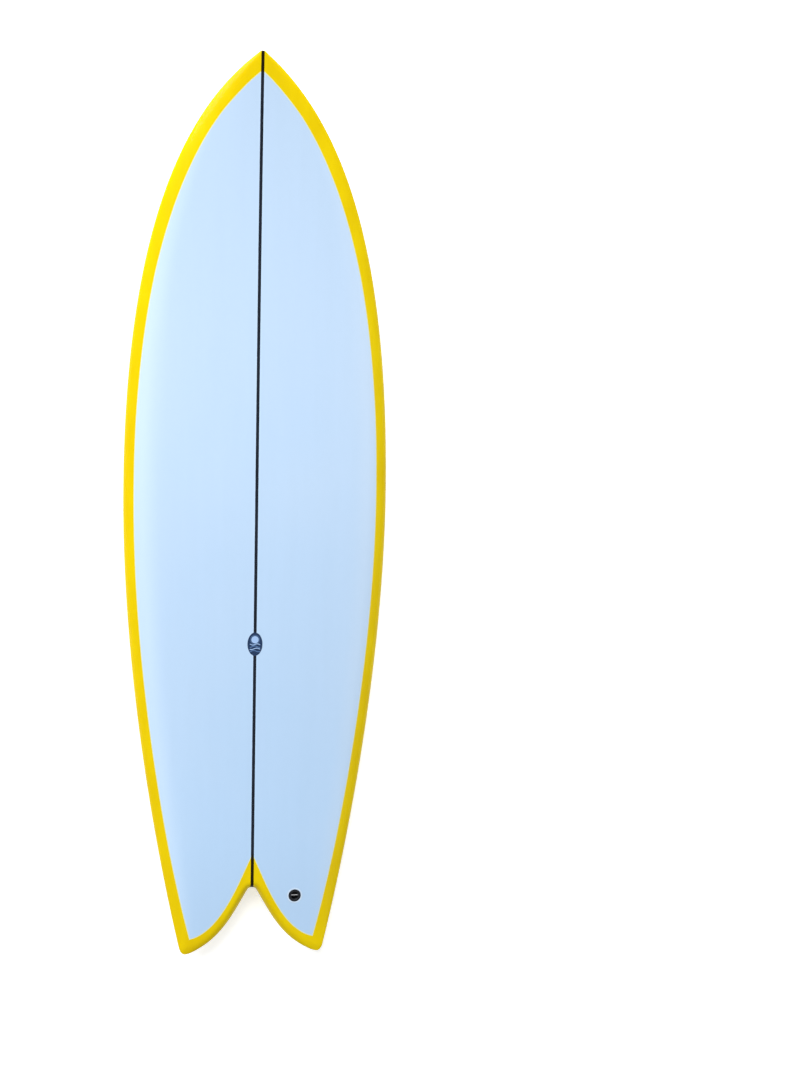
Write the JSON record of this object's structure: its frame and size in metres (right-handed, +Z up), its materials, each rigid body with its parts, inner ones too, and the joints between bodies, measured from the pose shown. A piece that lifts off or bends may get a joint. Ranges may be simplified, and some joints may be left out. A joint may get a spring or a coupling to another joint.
{
  "type": "fish surfboard",
  "caption": "Swallow-tail fish surfboard with yellow rail laps, clear centre panels, dark stringer, keel-fin boxes and a leash plug.",
  "frame": {"origin": "under the middle of the board's length and width, on the plane the flat of the bottom rests on", "axes": "+Y towards the nose, +Z up out of the deck, +X to the right looking at the nose"},
  "size_m": [0.5134, 1.7269, 0.1239],
  "materials": {
    "clear_deck_laminate": "clear polyester and glass cloth over pale blue foam, sanded and polished gloss",
    "clear_bottom_laminate": "clear polyester and glass cloth over pale blue foam, gloss",
    "yellow_laminate": "opaque to slightly translucent yellow pigmented resin lap, gloss",
    "blue_foam": "pale blue polyurethane foam",
    "dark_stringer": "near black wood strip",
    "deck_print": "printed lamination under gloss resin",
    "label_print": "printed lamination under gloss resin",
    "fin_box_plastic": "moulded off-white plastic",
    "clear_resin": "clear cast resin over the routed foam",
    "stainless_steel": "stainless steel",
    "black_plastic": "moulded black plastic"
  },
  "bodies": {
    "root": {"bottom_label": "label_print", "bottom_laminate": "clear_bottom_laminate", "deck_emblem": "deck_print", "deck_laminate": "clear_deck_laminate", "fin_box_left": "fin_box_plastic", "fin_box_resin_left": "clear_resin", "fin_box_resin_right": "clear_resin", "fin_box_right": "fin_box_plastic", "foam_blank_left": "blue_foam", "foam_blank_right": "blue_foam", "leash_bar": "stainless_steel", "leash_cup": "black_plastic", "leash_plug_resin": "clear_resin", "rail_laminate_left": "yellow_laminate", "rail_laminate_right": "yellow_laminate", "stringer": "dark_stringer"},
    "fin_screw_left": {"fin_screw_left": "stainless_steel"},
    "fin_screw_right": {"fin_screw_right": "stainless_steel"}
  },
  "joints": [
    {"name": "fin_screw_left_turn", "type": "hinge", "parent": "root", "child": "fin_screw_left", "pos_m": [-0.14239, -0.57739, 0.01612], "axis": [-0.0057, -0.5034, 0.864], "continuous": true},
    {"name": "fin_screw_right_turn", "type": "hinge", "parent": "root", "child": "fin_screw_right", "pos_m": [0.14239, -0.57739, 0.01612], "axis": [0.0057, -0.5034, 0.864], "continuous": true}
  ]
}
